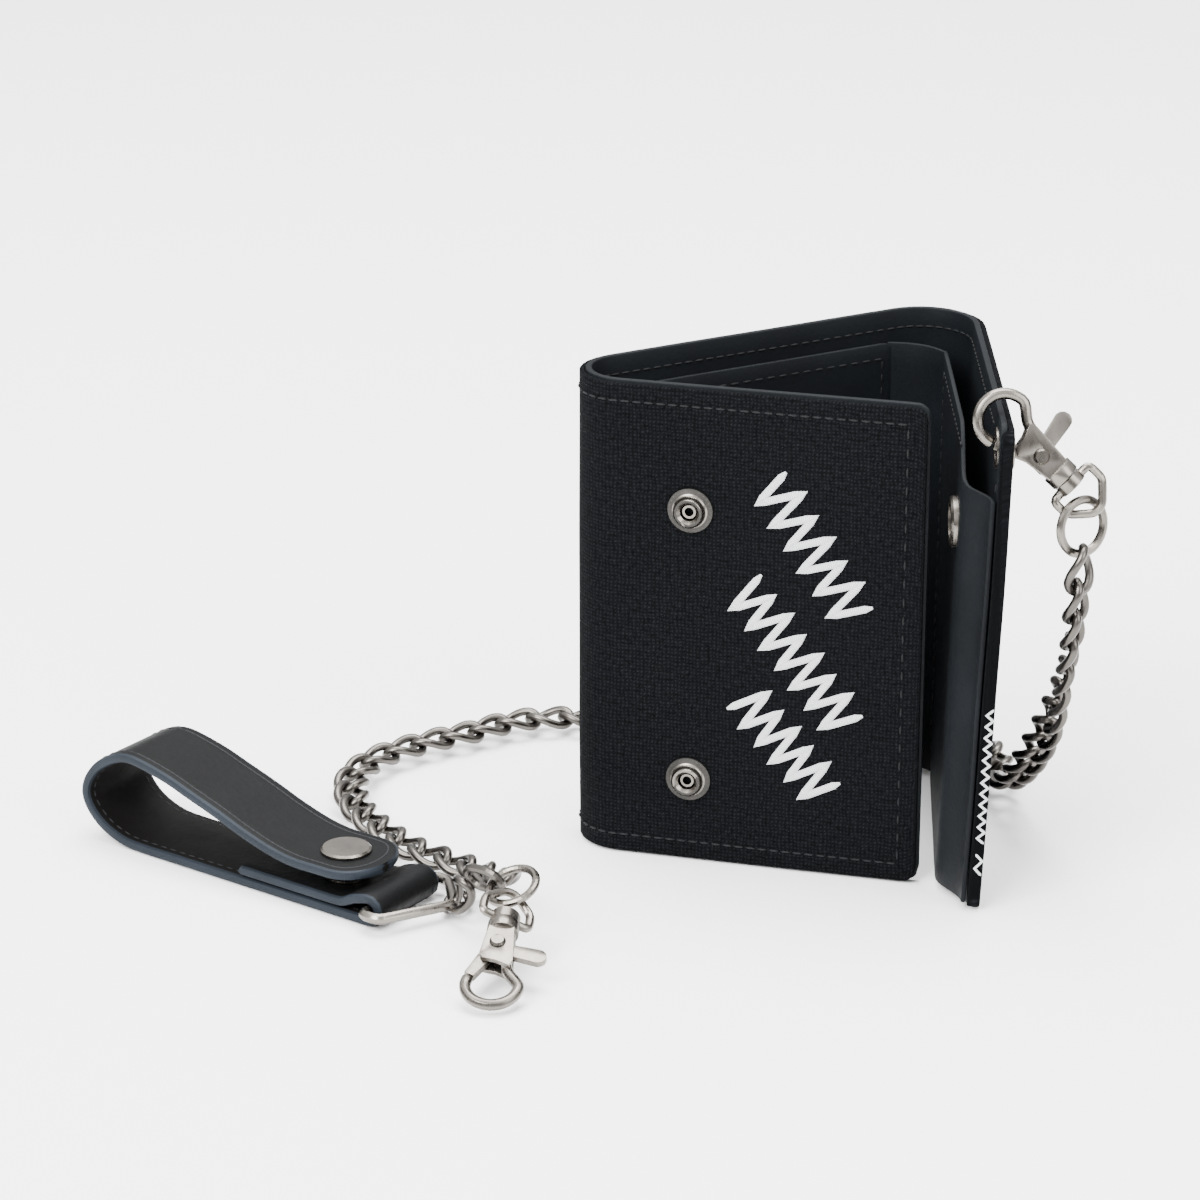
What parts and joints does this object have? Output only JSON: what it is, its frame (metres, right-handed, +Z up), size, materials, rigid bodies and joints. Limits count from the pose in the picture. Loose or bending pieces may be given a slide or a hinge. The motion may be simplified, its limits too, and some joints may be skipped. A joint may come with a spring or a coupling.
{
  "type": "chain wallet",
  "caption": "Trifold canvas and leather wallet standing open, with a curb chain, swivel clips and a leather belt strap.",
  "frame": {"origin": "centre of the footprint of the wallet and the strap, on the floor they stand on; the chain and its clips are left out", "axes": "+Z up; +X from the strap towards the wallet's cover; -Y the side the front panel faces"},
  "size_m": [0.223, 0.1554, 0.1152],
  "materials": {
    "canvas": "plain woven canvas, matt",
    "lining_leather": "smooth, satin",
    "strap_leather": "fine grain, satin",
    "nickel": "nickel plated, softly polished",
    "chain_metal": "darkened nickel, polished"
  },
  "bodies": {
    "back": {"right_fold_canvas": "canvas", "right_fold_lining": "lining_leather", "back_canvas": "canvas", "back_lining": "lining_leather", "left_fold_canvas": "canvas", "left_fold_lining": "lining_leather", "back_divider": "lining_leather", "card_pocket_1": "lining_leather", "card_pocket_2": "lining_leather", "card_pocket_3": "lining_leather", "fold_divider": "lining_leather", "belt_clip_stirrup": "nickel", "ring_lower": "nickel", "link_ring_side": "chain_metal", "chain_hanging": "chain_metal", "chain_lying": "chain_metal", "triangle_ring": "nickel"},
    "cover": {"cover_canvas": "canvas", "cover_lining": "lining_leather", "cover_divider": "lining_leather", "socket_upper": "nickel", "socket_back_upper": "nickel", "socket_lower": "nickel", "socket_back_lower": "nickel", "eyelet": "nickel", "eyelet_washer": "nickel", "wallet_clip_hook": "nickel", "wallet_clip_rivet": "nickel", "wallet_clip_spring": "nickel"},
    "wallet_gate": {"wallet_clip_gate": "nickel"},
    "wallet_swivel": {"wallet_clip_stirrup": "nickel", "ring_upper": "nickel"},
    "front": {"front_canvas": "canvas", "front_lining": "lining_leather", "stud_upper": "nickel", "stud_back_upper": "nickel", "stud_lower": "nickel", "stud_back_lower": "nickel"},
    "belt_clip": {"belt_clip_hook": "nickel", "belt_clip_rivet": "nickel", "belt_clip_spring": "nickel"},
    "belt_gate": {"belt_clip_gate": "nickel"},
    "strap": {"strap_base": "strap_leather", "strap_stud": "nickel"},
    "flap": {"strap_flap": "strap_leather", "strap_socket": "nickel", "strap_cap": "nickel"}
  },
  "joints": [
    {"name": "cover_fold", "type": "hinge", "parent": "back", "child": "cover", "pos_m": [0.09347, 0.04698, 0], "axis": [0, 0, 1], "range_deg": [-1, 118], "deforming": ["right_fold_canvas", "right_fold_lining", "fold_divider", "chain_hanging"]},
    {"name": "front_fold", "type": "hinge", "parent": "back", "child": "front", "pos_m": [0.01188, 0.00369, 0], "axis": [0, 0, -1], "range_deg": [-42, 75], "deforming": ["left_fold_canvas", "left_fold_lining"]},
    {"name": "wallet_gate", "type": "hinge", "parent": "cover", "child": "wallet_gate", "pos_m": [0.10688, -0.02949, 0.10124], "axis": [-0.0368, 0.967, -0.2521], "range_deg": [0, 4.6], "stiffness_Nm_per_rad": 0.02, "springref_deg": -5.73},
    {"name": "wallet_swivel", "type": "hinge", "parent": "cover", "child": "wallet_swivel", "pos_m": [0.11217, -0.03046, 0.09676], "axis": [-0.7273, 0.1471, 0.6703], "range_deg": [-20, 20], "deforming": ["chain_hanging"]},
    {"name": "belt_swivel", "type": "hinge", "parent": "back", "child": "belt_clip", "pos_m": [-0.00517, -0.0649, 0.00975], "axis": [-0.1294, -0.9356, -0.3285], "continuous": true},
    {"name": "belt_gate", "type": "hinge", "parent": "belt_clip", "child": "belt_gate", "pos_m": [-0.00637, -0.07141, 0.00746], "axis": [0, -0.3312, 0.9435], "range_deg": [0, 24], "stiffness_Nm_per_rad": 0.02, "springref_deg": -5.73},
    {"name": "strap_swing", "type": "hinge", "parent": "back", "child": "strap", "pos_m": [-0.02883, -0.03682, 0.0037], "axis": [-0.5878, -0.809, 0], "range_deg": [-70, 0]},
    {"name": "strap_open", "type": "hinge", "parent": "strap", "child": "flap", "pos_m": [-0.08239, 0.00209, 0.0219], "axis": [-0.5878, -0.809, 0], "range_deg": [0, 76]}
  ]
}
